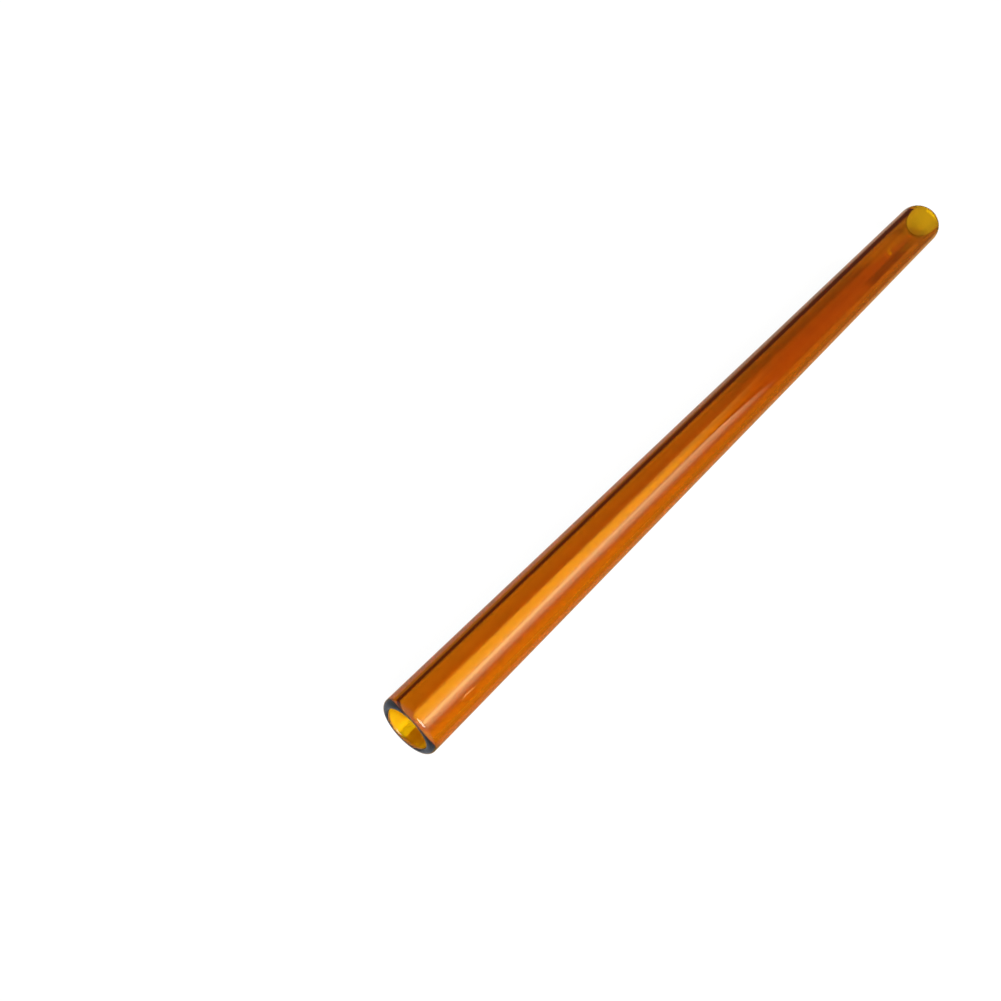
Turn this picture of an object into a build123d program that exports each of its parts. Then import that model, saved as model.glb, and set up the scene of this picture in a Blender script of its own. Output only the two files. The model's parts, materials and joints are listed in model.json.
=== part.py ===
"""A plain amber glass burette tube, open at both ends.

The tube lies on its side: its axis runs along Y, +Z is up, and the origin is
the point of the ground under the middle of the tube. One end faces -Y and the
other faces +Y, and both are the same.
"""
from build123d import *

import os

# Driving dimensions, in millimetres
outer_diameter = 11.0
wall_thickness = 1.5
tube_length = 200.0
# Both ends are melted smooth: the flame draws the outer corner back further than the inner one
outer_lip_radius = 1.0
inner_lip_radius = 0.45

outer_radius = outer_diameter / 2
bore_radius = outer_radius - wall_thickness
tube_axis = Axis(origin=(0, 0, outer_radius), direction=(0, 1, 0))

# Sketch plane through the tube's axis: local x runs along the tube, local y points up from the axis
wall_plane = Plane(origin=(0, 0, outer_radius), x_dir=(0, 1, 0), z_dir=(1, 0, 0))

# The whole object is one drawn length of glass: the wall's section, turned about the axis
with BuildPart() as glass_tube:
    with BuildSketch(wall_plane):
        with Locations((0, bore_radius + wall_thickness / 2)):
            Rectangle(tube_length, wall_thickness)
        bore_corners = vertices().group_by(Axis.Z)[0]
        outside_corners = vertices().group_by(Axis.Z)[-1]
        fillet(bore_corners, radius=inner_lip_radius)
        fillet(outside_corners, radius=outer_lip_radius)
    revolve(axis=tube_axis)

os.makedirs("parts", exist_ok=True)
glass_tube.part.label = "glass_tube"
export_step(glass_tube.part, "parts/glass_tube.step")
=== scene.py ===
# The look of the amber glass tube: one turned body of tinted glass on a white table in a soft studio.
import json
import math
from collections import namedtuple

import bpy
from mathutils import Euler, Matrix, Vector


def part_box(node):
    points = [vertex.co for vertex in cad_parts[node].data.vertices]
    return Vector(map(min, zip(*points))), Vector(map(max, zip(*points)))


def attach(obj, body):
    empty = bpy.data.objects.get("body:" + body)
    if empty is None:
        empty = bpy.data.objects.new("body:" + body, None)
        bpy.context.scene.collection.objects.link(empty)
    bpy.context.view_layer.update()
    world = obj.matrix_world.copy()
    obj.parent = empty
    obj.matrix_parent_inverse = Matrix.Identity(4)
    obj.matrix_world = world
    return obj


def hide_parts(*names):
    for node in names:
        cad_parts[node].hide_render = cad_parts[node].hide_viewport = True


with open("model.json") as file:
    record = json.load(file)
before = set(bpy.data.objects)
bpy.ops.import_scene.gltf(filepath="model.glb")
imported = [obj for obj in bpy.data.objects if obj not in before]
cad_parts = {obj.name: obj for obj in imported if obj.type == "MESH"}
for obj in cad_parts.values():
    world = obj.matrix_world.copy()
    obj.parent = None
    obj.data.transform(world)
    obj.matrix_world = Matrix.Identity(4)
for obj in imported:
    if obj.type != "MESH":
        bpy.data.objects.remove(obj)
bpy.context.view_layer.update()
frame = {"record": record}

MM = 0.001

# ---------------------------------------------------------------- the tube, measured on the frame
tube_low, tube_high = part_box("glass_tube")
OUTER_RADIUS = (tube_high.z - tube_low.z) / 2
TUBE_LENGTH = tube_high.y - tube_low.y
AXIS_HEIGHT = (tube_high.z + tube_low.z) / 2
BORE_RADIUS = next(m["dims"]["r_mm"] for m in frame["record"]["mounts"] if m["name"] == "bore") * MM
OUTER_LIP = 1.0 * MM                     # fire-polished edge, outside
INNER_LIP = 0.45 * MM                    # and where the mouth meets the bore
SIDES = 192                              # facets around the tube
RINGS = 20                               # along each straight wall
LIP_STEPS = 10                           # around each lip
LIP_GUARD = 0.05 * MM                    # a ring this close to a lip keeps the wall's shading straight

# ---------------------------------------------------------------- the glass
GLASS_IOR = 1.5
ABSORBED = (0.14, 0.46, 3.0)             # red, green and blue lost per millimetre of glass
SMUDGE_SCALE = 90.0
SMUDGE_DETAIL = 3.0
SMUDGE_RANGE = (0.5, 0.75)               # the noise's clean level, and its level where a smudge is thickest
SMUDGE_ROUGH = 0.05                      # the roughness there; clean glass has none
DRAW_STRETCH = (500.0, 7.0, 500.0)       # draw lines: noise that is fine across the tube and long along it
DRAW_DETAIL = 2.0
DRAW_DEPTH = 0.03 * MM
DRAW_STRENGTH = 0.15
SEED_PLACE = Vector((4.70, -90.2, 8.35)) * MM
SEED_HALF = Vector((0.60, 1.9, 0.60)) * MM
SEED_CORE = 0.6                          # the part of the bubble's reach that is full depth
SEED_DEPTH = 0.10 * MM
SEED_STRENGTH = 0.42

# ---------------------------------------------------------------- the table
FLOOR_SIZE = 6.0
FLOOR_DROP = 0.10 * MM                   # the white floor that the camera sees lies this far below the tube
FLOOR_WHITE = 0.12
FLOOR_GLOW = 0.96                        # round the tube, so that its faint shadow shows
FLOOR_FAR = (0.25, 0.50)                 # between these distances it rises to full white
CARD_DROP = 0.05 * MM                    # the white card that the glass sees lies between it and the tube
CARD_WHITE = 0.88
CARD_LEFT = -0.034
CARD_SHADE_START = -0.008                       # from here to its left edge the card gets darker: painted shade, the tube's shadow on the table to its left
# the card's whiteness at its left edge, deepest in that painted shade
CARD_SHADE_LEFT = 0.35
CARD_RIGHT = 0.08
CARD_REACH = 0.5
# Patches of the card: their edges and how soft these are, in millimetres, and a brightness.
Patch = namedtuple("Patch", "left right front back soft_x soft_y bright")
# Light pools on the card beside the mouth, beside the far end and beyond it,
POOLS = [
    Patch(left=-30, right=-4.2, front=-110, back=-97.3, soft_x=1.5, soft_y=1.5, bright=0.55),
    Patch(left=-14, right=-5.0, front=84, back=98, soft_x=2.5, soft_y=8, bright=0.18),
    Patch(left=-14, right=14, front=108, back=130, soft_x=5, soft_y=4, bright=0.19),
]
# and the tube shades it in front of the mouth, under the far end, and along the left of the far half.
SHADES = [
    Patch(left=-2.7, right=30, front=-110, back=-97.3, soft_x=1.5, soft_y=1.5, bright=0.55),
    Patch(left=-0.2, right=1.3, front=74, back=94, soft_x=1.5, soft_y=8, bright=0.42),
    Patch(left=-40, right=-7.5, front=30, back=72, soft_x=3, soft_y=30, bright=0.52),
]

# ---------------------------------------------------------------- the lamps
KEY_RADIANCE = 13.0
KEY_TINT = (1.0, 0.95, 0.85)
KEY_AZ = 132.0
KEY_EL = 35.0
KEY_SIZE = 0.45
KEY_DISTANCE = 0.9
TOP_RADIANCE = 1.6
TOP_PLACE = (0.0, -0.20, 0.30)
TOP_SIZE = 0.28

# ---------------------------------------------------------------- the room around them
# A range is a pair of places on the sphere of directions, X, Y or Z from -1 to 1: the first is outside
# the thing, the second is fully inside it.
DARK = 0.04                              # ahead of the camera, as the outside of the glass reflects it
DARK_INSIDE = (0.13, 0.065, 0.03)        # and as it shows through the glass
PALE = 0.9                               # beside the tube, and straight ahead of it
AHEAD = (0.90, 0.97)
FRONT = 0.6                              # behind the camera
FRONT_TINT = (0.88, 0.95, 1.08)
BEHIND = (0.1, -0.1)
TABLE_SIDE = (0.62, 0.47, 0.36)          # the table on the -X side, reflected along the tube's -X edge
SIDE_LEFT = (-0.25, -0.38)
SIDE_LOW = (0.0, -0.15)
TABLE_SHEEN = (0.7, 0.42, 0.15)          # the amber light on the table, reflected at a glancing angle
SHEEN_LOW = (0.0, -0.3)
LOW_WALL = (0.22, 0.12)                  # the dark wall, as it shows through the glass: below this,
HIGH_WALL = (0.40, 0.55)                 # above this,
WALL_FRONT = (0.08, 0.28)                # and only from here onwards along the tube
LAMP_TINT = (1.0, 0.86, 0.42)            # the window and the overhead lamp, reflected from the outside
OVERHEAD = 0.7                           # the overhead lamp, reflected from the outside of the glass
OVERHEAD_INSIDE = 11.0                   # and from its inside
INSIDE_TINT = (0.6, 1.0, 0.4)            # its tint there
OVERHEAD_SLOPE = 0.94                    # how high the lamp's far edge stands, over its distance ahead
OVERHEAD_FAR = (-0.12, 0.10)
OVERHEAD_LEAN = 0.05                     # how far its left edge leans towards +X
OVERHEAD_LEFT = (-0.06, 0.06)
OVERHEAD_SPREAD = 3.5                    # how far it spreads to +X, over its height
OVERHEAD_RIGHT = (0.0, 1.5)
WINDOW_RADIANCE = 12.0
WINDOW_NEAREST = 0.01                    # keeps the window's ratios finite beside X = 0
WINDOW_SLANT = 0.3                       # how far its ends lean with height
FILL = 0.12                              # light that the table gathers from the room
CAUSTIC_FILL = (1.125, 1.5, 1.5)         # and through both walls of the tube
# the window's brightness by its height over its distance, and by its reach along the tube
WINDOW_HEIGHT = [
    (0.0, 0.0), (0.10, 0.03), (0.27, 0.09), (0.38, 0.30), (0.51, 0.45), (0.58, 0.50),
    (0.65, 0.60), (0.75, 0.75), (0.84, 1.0), (0.96, 1.0), (1.04, 0.60), (1.15, 0.35),
    (1.28, 0.22), (1.5, 0.10), (2.14, 0.02), (2.5, 0.0),
]
WINDOW_REACH = [(0.08, 0.4), (0.24, 0.9), (0.70, 0.8), (0.87, 0.65), (0.96, 0.5), (1.06, 0.4), (1.12, 0.0)]
IN_THE_GLASS = 0.5                       # transmissions: more than this, and a ray has entered the glass
PAST_THE_TUBE = 5.5                      # and more than this, it has crossed both walls and come out
OFF_THE_CARD = 0.5                       # diffuse bounces: more than this, and a ray has left the card

# ---------------------------------------------------------------- light paths
BRIGHTEST_BOUNCE = 20.0
GLOSSY_BOUNCES = 12
GLASS_BOUNCES = 20
MOST_BOUNCES = 24

# ---------------------------------------------------------------- the camera
CAMERA_PLACE = Vector((60.47, -150.01, 135.55)) * MM
CAMERA_HEADING = math.radians(39.618)    # turned from +Y towards -X
CAMERA_PITCH = math.radians(45.687)      # tipped below the horizon
LENS = 33.95
CLIP_START = 0.005


# ---------------------------------------------------------------- the tube's shape
def arc(centre_y, centre_r, radius, start, end):
    """Points (y, r) on an arc, from one angle to another in degrees; 0 points along +Y and 90 outwards."""
    points = []
    for i in range(LIP_STEPS + 1):
        angle = math.radians(start + (end - start) * i / LIP_STEPS)
        points.append((centre_y + radius * math.cos(angle), centre_r + radius * math.sin(angle)))
    return points


def straight(half, radius):
    """Points (y, r) between the ends of a straight wall, along +Y."""
    places = [-half + 2 * half * i / RINGS for i in range(1, RINGS)]
    places = [LIP_GUARD - half] + places + [half - LIP_GUARD]
    return [(y, radius) for y in places]


def wall_outline():
    """The wall's section as a closed loop of (y, r): out along the outside, and back along the bore."""
    half = TUBE_LENGTH / 2
    outer_centre = OUTER_RADIUS - OUTER_LIP
    inner_centre = BORE_RADIUS + INNER_LIP
    outline = straight(half - OUTER_LIP, OUTER_RADIUS)
    outline += arc(half - OUTER_LIP, outer_centre, OUTER_LIP, 90, 0)
    outline += arc(half - INNER_LIP, inner_centre, INNER_LIP, 0, -90)
    outline += reversed(straight(half - INNER_LIP, BORE_RADIUS))
    outline += arc(INNER_LIP - half, inner_centre, INNER_LIP, -90, -180)
    outline += arc(OUTER_LIP - half, outer_centre, OUTER_LIP, 180, 90)
    return outline


def turned(name, outline):
    """A closed mesh made by turning the outline about the tube's axis."""
    verts = []
    for y, r in outline:
        for k in range(SIDES):
            angle = 2 * math.pi * k / SIDES
            verts.append((r * math.sin(angle), y, AXIS_HEIGHT + r * math.cos(angle)))
    faces = []
    for i in range(len(outline)):
        j = (i + 1) % len(outline)
        for k in range(SIDES):
            m = (k + 1) % SIDES
            faces.append((i * SIDES + k, i * SIDES + m, j * SIDES + m, j * SIDES + k))
    mesh = bpy.data.meshes.new(name)
    mesh.from_pydata(verts, [], faces)
    mesh.validate()
    mesh.shade_smooth()
    return linked(name, mesh)


def linked(name, data):
    """A new object of this data, in the scene."""
    made = bpy.data.objects.new(name, data)
    bpy.context.scene.collection.objects.link(made)
    return made


# ---------------------------------------------------------------- node helpers
def feed(tree, socket, value):
    """Give a socket a number, a colour or another node's output."""
    if isinstance(value, bpy.types.NodeSocket):
        tree.links.new(value, socket)
    elif isinstance(value, tuple) and len(value) == 3 and socket.type == "RGBA":
        socket.default_value = (*value, 1.0)
    else:
        socket.default_value = value


def math_node(tree, operation, *values):
    node = tree.nodes.new("ShaderNodeMath")
    node.operation = operation
    for socket, value in zip(node.inputs, values):
        feed(tree, socket, value)
    return node.outputs[0]


def vector_node(tree, operation, *values):
    node = tree.nodes.new("ShaderNodeVectorMath")
    node.operation = operation
    for socket, value in zip(node.inputs, values):
        feed(tree, socket, value)
    return node


def ramp(tree, source, low, high, smooth=True):
    """0 at low and 1 at high, and no further."""
    node = tree.nodes.new("ShaderNodeMapRange")
    if smooth:
        node.interpolation_type = "SMOOTHSTEP"
    node.inputs["From Min"].default_value = low
    node.inputs["From Max"].default_value = high
    feed(tree, node.inputs["Value"], source)
    return node.outputs[0]


def mix(tree, factor, first, second):
    node = tree.nodes.new("ShaderNodeMixRGB")
    for socket, value in zip(node.inputs, (factor, first, second)):
        feed(tree, socket, value)
    return node.outputs[0]


def curve(tree, source, points):
    """A brightness that follows the points (place, brightness)."""
    last = points[-1][0]
    node = tree.nodes.new("ShaderNodeValToRGB")
    feed(tree, node.inputs[0], ramp(tree, source, 0.0, last, smooth=False))
    stops = node.color_ramp.elements
    while len(stops) > 1:
        stops.remove(stops[0])
    stops[0].position = points[0][0] / last
    for place, _ in points[1:]:
        stops.new(place / last)
    for stop, (_, bright) in zip(stops, points):
        stop.color = (bright, bright, bright, 1.0)
    return node.outputs["Color"]


def grey(bright):
    return (bright, bright, bright)


def scaled(colour, gain):
    return tuple(part * gain for part in colour)


# ---------------------------------------------------------------- materials
def tint_the_depth(tree):
    """The glass's colour is in its depth: it takes away blue most, then green, then red."""
    most = max(ABSORBED)
    absorb = tree.nodes.new("ShaderNodeVolumeAbsorption")
    absorb.inputs["Color"].default_value = (*(1 - lost / most for lost in ABSORBED), 1.0)
    absorb.inputs["Density"].default_value = most / MM
    tree.links.new(absorb.outputs["Volume"], tree.nodes["Material Output"].inputs["Volume"])


def smudges(tree, place):
    """Faint smudges of handling: patches of slight roughness."""
    noise = tree.nodes.new("ShaderNodeTexNoise")
    noise.inputs["Scale"].default_value = SMUDGE_SCALE
    noise.inputs["Detail"].default_value = SMUDGE_DETAIL
    tree.links.new(place, noise.inputs["Vector"])
    thickness = ramp(tree, noise.outputs["Fac"], *SMUDGE_RANGE, smooth=False)
    return math_node(tree, "MULTIPLY", thickness, SMUDGE_ROUGH)


def draw_lines(tree, place):
    """The shallow lines that drawing leaves along a tube."""
    stretch = tree.nodes.new("ShaderNodeMapping")
    stretch.inputs["Scale"].default_value = DRAW_STRETCH
    tree.links.new(place, stretch.inputs["Vector"])
    noise = tree.nodes.new("ShaderNodeTexNoise")
    noise.inputs["Scale"].default_value = 1.0
    noise.inputs["Detail"].default_value = DRAW_DETAIL
    tree.links.new(stretch.outputs[0], noise.inputs["Vector"])
    return noise.outputs["Fac"]


def seed_mark(tree, place):
    """One bubble near the mouth, drawn out along the tube."""
    away = vector_node(tree, "SUBTRACT", place, SEED_PLACE)
    reach = vector_node(tree, "DIVIDE", away.outputs[0], SEED_HALF)
    return ramp(tree, vector_node(tree, "LENGTH", reach.outputs[0]).outputs["Value"], 1.0, SEED_CORE)


def bump(tree, height, depth, strength, normal=None):
    node = tree.nodes.new("ShaderNodeBump")
    node.inputs["Strength"].default_value = strength
    node.inputs["Distance"].default_value = depth
    tree.links.new(height, node.inputs["Height"])
    if normal is not None:
        tree.links.new(normal, node.inputs["Normal"])
    return node.outputs["Normal"]


def amber_glass():
    """Clear amber glass."""
    material = bpy.data.materials.new("amber_glass")
    material.use_nodes = True
    tree = material.node_tree
    shader = tree.nodes["Principled BSDF"]
    shader.inputs["Base Color"].default_value = (1.0, 1.0, 1.0, 1.0)
    shader.inputs["IOR"].default_value = GLASS_IOR
    shader.inputs["Transmission Weight"].default_value = 1.0
    tint_the_depth(tree)
    place = tree.nodes.new("ShaderNodeTexCoord").outputs["Object"]
    tree.links.new(smudges(tree, place), shader.inputs["Roughness"])
    seeded = bump(tree, seed_mark(tree, place), SEED_DEPTH, SEED_STRENGTH)
    lined = bump(tree, draw_lines(tree, place), DRAW_DEPTH, DRAW_STRENGTH, seeded)
    tree.links.new(lined, shader.inputs["Normal"])
    return material


def plain(name, white, glow):
    """A matt white material that also gives off a little light."""
    material = bpy.data.materials.new(name)
    material.use_nodes = True
    shader = material.node_tree.nodes["Principled BSDF"]
    shader.inputs["Base Color"].default_value = (white, white, white, 1.0)
    shader.inputs["Roughness"].default_value = 1.0
    shader.inputs["Specular IOR Level"].default_value = 0.0
    shader.inputs["Emission Color"].default_value = (1.0, 1.0, 1.0, 1.0)
    shader.inputs["Emission Strength"].default_value = glow
    return material


# ---------------------------------------------------------------- the piece
def add_tube():
    tube = turned("burette_tube", wall_outline())
    tube.data.materials.append(amber_glass())
    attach(tube, "root")
    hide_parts("glass_tube")


# ---------------------------------------------------------------- the stage
def sheet(name, left, right, front, back, z, material):
    """A level rectangle."""
    mesh = bpy.data.meshes.new(name)
    corners = [(left, front, z), (right, front, z), (right, back, z), (left, back, z)]
    mesh.from_pydata(corners, [], [(0, 1, 2, 3)])
    mesh.materials.append(material)
    made = linked(name, mesh)
    made.visible_shadow = False
    made.visible_glossy = False
    return made


def whiten_far_off(tree):
    """The floor glows full white away from the tube, so that it has no horizon."""
    place = tree.nodes.new("ShaderNodeTexCoord").outputs["Object"]
    far = ramp(tree, vector_node(tree, "LENGTH", place).outputs["Value"], *FLOOR_FAR)
    glow = math_node(tree, "MULTIPLY_ADD", far, 1.0 - FLOOR_GLOW, FLOOR_GLOW)
    tree.links.new(glow, tree.nodes["Principled BSDF"].inputs["Emission Strength"])


def inside_patch(tree, x, y, patch):
    """1 inside a patch of the card, fading to 0 around it."""
    past_left = ramp(tree, x, patch.left - patch.soft_x, patch.left)
    before_right = ramp(tree, x, patch.right + patch.soft_x, patch.right)
    past_front = ramp(tree, y, patch.front - patch.soft_y, patch.front)
    before_back = ramp(tree, y, patch.back + patch.soft_y, patch.back)
    across = math_node(tree, "MULTIPLY", past_left, before_right)
    along = math_node(tree, "MULTIPLY", past_front, before_back)
    return math_node(tree, "MULTIPLY", across, along)


def light_card(tree):
    """The card gets darker to its left, a painted shade, and has its painted pools of light and its painted
    shades.
    """
    shader = tree.nodes["Principled BSDF"]
    split = tree.nodes.new("ShaderNodeSeparateXYZ")
    tree.links.new(tree.nodes.new("ShaderNodeTexCoord").outputs["Object"], split.inputs[0])
    x = math_node(tree, "MULTIPLY", split.outputs["X"], 1 / MM)
    y = math_node(tree, "MULTIPLY", split.outputs["Y"], 1 / MM)
    white = mix(tree, ramp(tree, split.outputs["X"], CARD_SHADE_START, CARD_LEFT), grey(CARD_WHITE), grey(CARD_SHADE_LEFT))
    for shade in SHADES:
        white = mix(tree, inside_patch(tree, x, y, shade), white, grey(shade.bright))
    glow = 0.0
    for pool in POOLS:
        glow = math_node(tree, "MULTIPLY_ADD", inside_patch(tree, x, y, pool), pool.bright, glow)
    tree.links.new(white, shader.inputs["Base Color"])
    tree.links.new(glow, shader.inputs["Emission Strength"])


def add_table():
    """A white floor for the camera, and a white card for the glass to look through to."""
    half = FLOOR_SIZE / 2
    white = plain("floor", FLOOR_WHITE, FLOOR_GLOW)
    whiten_far_off(white.node_tree)
    floor = sheet("floor", -half, half, -half, half, -FLOOR_DROP, white)
    floor.visible_transmission = False
    floor.visible_diffuse = False
    paper = plain("card", CARD_WHITE, 0.0)
    light_card(paper.node_tree)
    card = sheet("card", CARD_LEFT, CARD_RIGHT, -CARD_REACH, CARD_REACH, -CARD_DROP, paper)
    card.visible_camera = False


def lamp(name, place, size, radiance):
    """A square lamp that faces straight down until it is turned."""
    data = bpy.data.lights.new(name, "AREA")
    data.shape = "SQUARE"
    data.size = size
    data.energy = radiance * math.pi * size * size
    data.color = KEY_TINT
    made = linked(name, data)
    made.location = place
    made.visible_camera = False
    return made


def add_lamps():
    azimuth = math.radians(KEY_AZ)
    elevation = math.radians(KEY_EL)
    level = math.cos(elevation)
    away = Vector((math.sin(azimuth) * level, math.cos(azimuth) * level, math.sin(elevation)))
    key = lamp("key", away * KEY_DISTANCE, KEY_SIZE, KEY_RADIANCE)
    key.rotation_euler = away.to_track_quat("Z", "Y").to_euler()
    top = lamp("top", TOP_PLACE, TOP_SIZE, TOP_RADIANCE)
    top.visible_glossy = False


def overhead(tree, x, y, z):
    """Where the overhead lamp is: high over the tube, on the +X side."""
    over_far_edge = math_node(tree, "SUBTRACT", z, math_node(tree, "MULTIPLY", y, OVERHEAD_SLOPE))
    over_left_edge = math_node(tree, "SUBTRACT", x, math_node(tree, "MULTIPLY", z, OVERHEAD_LEAN))
    to_right_edge = math_node(tree, "SUBTRACT", math_node(tree, "MULTIPLY", z, OVERHEAD_SPREAD), x)
    above = ramp(tree, over_far_edge, *OVERHEAD_FAR)
    past_left = ramp(tree, over_left_edge, *OVERHEAD_LEFT)
    before_right = ramp(tree, to_right_edge, *OVERHEAD_RIGHT)
    return math_node(tree, "MULTIPLY", math_node(tree, "MULTIPLY", above, past_left), before_right)


def window(tree, x, y, z):
    """How bright the long window on the +X side is."""
    right = math_node(tree, "MAXIMUM", x, WINDOW_NEAREST)
    high = curve(tree, math_node(tree, "DIVIDE", z, right), WINDOW_HEIGHT)
    slanted = math_node(tree, "ADD", right, math_node(tree, "MULTIPLY", z, WINDOW_SLANT))
    along = curve(tree, math_node(tree, "DIVIDE", y, slanted), WINDOW_REACH)
    return math_node(tree, "MULTIPLY", high, along)


def room(tree, x, y, z, through):
    """The walls and the table, as the outside of the glass reflects them and as they show through it."""
    ahead = ramp(tree, y, *AHEAD)
    steep = ramp(tree, math_node(tree, "ADD", z, math_node(tree, "ABSOLUTE", x)), *SHEEN_LOW)
    side = math_node(tree, "MULTIPLY", ramp(tree, x, *SIDE_LEFT), ramp(tree, z, *SIDE_LOW))
    outside = mix(tree, steep, mix(tree, side, grey(DARK), TABLE_SIDE), TABLE_SHEEN)
    outside = mix(tree, ramp(tree, y, *BEHIND), outside, scaled(FRONT_TINT, FRONT))
    outside = mix(tree, ahead, outside, grey(PALE))
    wall = math_node(tree, "MAXIMUM", ramp(tree, z, *LOW_WALL), ramp(tree, z, *HIGH_WALL))
    beyond = math_node(tree, "MULTIPLY", wall, ramp(tree, y, *WALL_FRONT))
    dark = math_node(tree, "MULTIPLY", beyond, math_node(tree, "SUBTRACT", 1.0, ahead))
    inside = mix(tree, dark, grey(PALE), DARK_INSIDE)
    return mix(tree, through, outside, inside)


def add_world():
    """White to the camera; to the glass, a room with a lamp and a window; to the table, soft light."""
    world = bpy.data.worlds.new("studio")
    bpy.context.scene.world = world
    world.use_nodes = True
    world.cycles.sampling_method = "NONE"
    tree = world.node_tree
    path = tree.nodes.new("ShaderNodeLightPath")
    split = tree.nodes.new("ShaderNodeSeparateXYZ")
    tree.links.new(tree.nodes.new("ShaderNodeTexCoord").outputs["Generated"], split.inputs[0])
    x, y, z = split.outputs
    through = math_node(tree, "GREATER_THAN", path.outputs["Transmission Depth"], IN_THE_GLASS)
    twice = math_node(tree, "GREATER_THAN", path.outputs["Transmission Depth"], PAST_THE_TUBE)
    spread = math_node(tree, "GREATER_THAN", path.outputs["Diffuse Depth"], OFF_THE_CARD)
    lamps = mix(tree, through, scaled(LAMP_TINT, OVERHEAD), scaled(INSIDE_TINT, OVERHEAD_INSIDE))
    sight = mix(tree, overhead(tree, x, y, z), room(tree, x, y, z, through), lamps)
    outside = math_node(tree, "SUBTRACT", 1.0, through)
    shine = math_node(tree, "MULTIPLY", window(tree, x, y, z), outside)
    glare = vector_node(tree, "SCALE", scaled(LAMP_TINT, WINDOW_RADIANCE))
    tree.links.new(shine, glare.inputs["Scale"])
    sight = vector_node(tree, "ADD", sight, glare.outputs[0]).outputs[0]
    fill = mix(tree, twice, grey(FILL), CAUSTIC_FILL)
    light = mix(tree, spread, sight, fill)
    whole = mix(tree, path.outputs["Is Camera Ray"], light, grey(1.0))
    tree.links.new(whole, tree.nodes["Background"].inputs["Color"])


def add_camera():
    data = bpy.data.cameras.new("camera")
    data.lens = LENS
    data.clip_start = CLIP_START
    camera = linked("camera", data)
    camera.location = CAMERA_PLACE
    camera.rotation_euler = Euler((math.pi / 2 - CAMERA_PITCH, 0.0, CAMERA_HEADING))
    bpy.context.scene.camera = camera


def set_light_paths():
    """Plain colours, and enough bounces for light to cross both walls and be gathered on the card."""
    scene = bpy.context.scene
    scene.view_settings.view_transform = "Standard"
    scene.cycles.blur_glossy = 0.0
    scene.cycles.sample_clamp_indirect = BRIGHTEST_BOUNCE
    scene.cycles.glossy_bounces = GLOSSY_BOUNCES
    scene.cycles.transmission_bounces = GLASS_BOUNCES
    scene.cycles.max_bounces = MOST_BOUNCES
    scene.cycles.use_denoising = True


add_tube()
add_table()
add_lamps()
add_world()
add_camera()
set_light_paths()

bpy.context.view_layer.update()
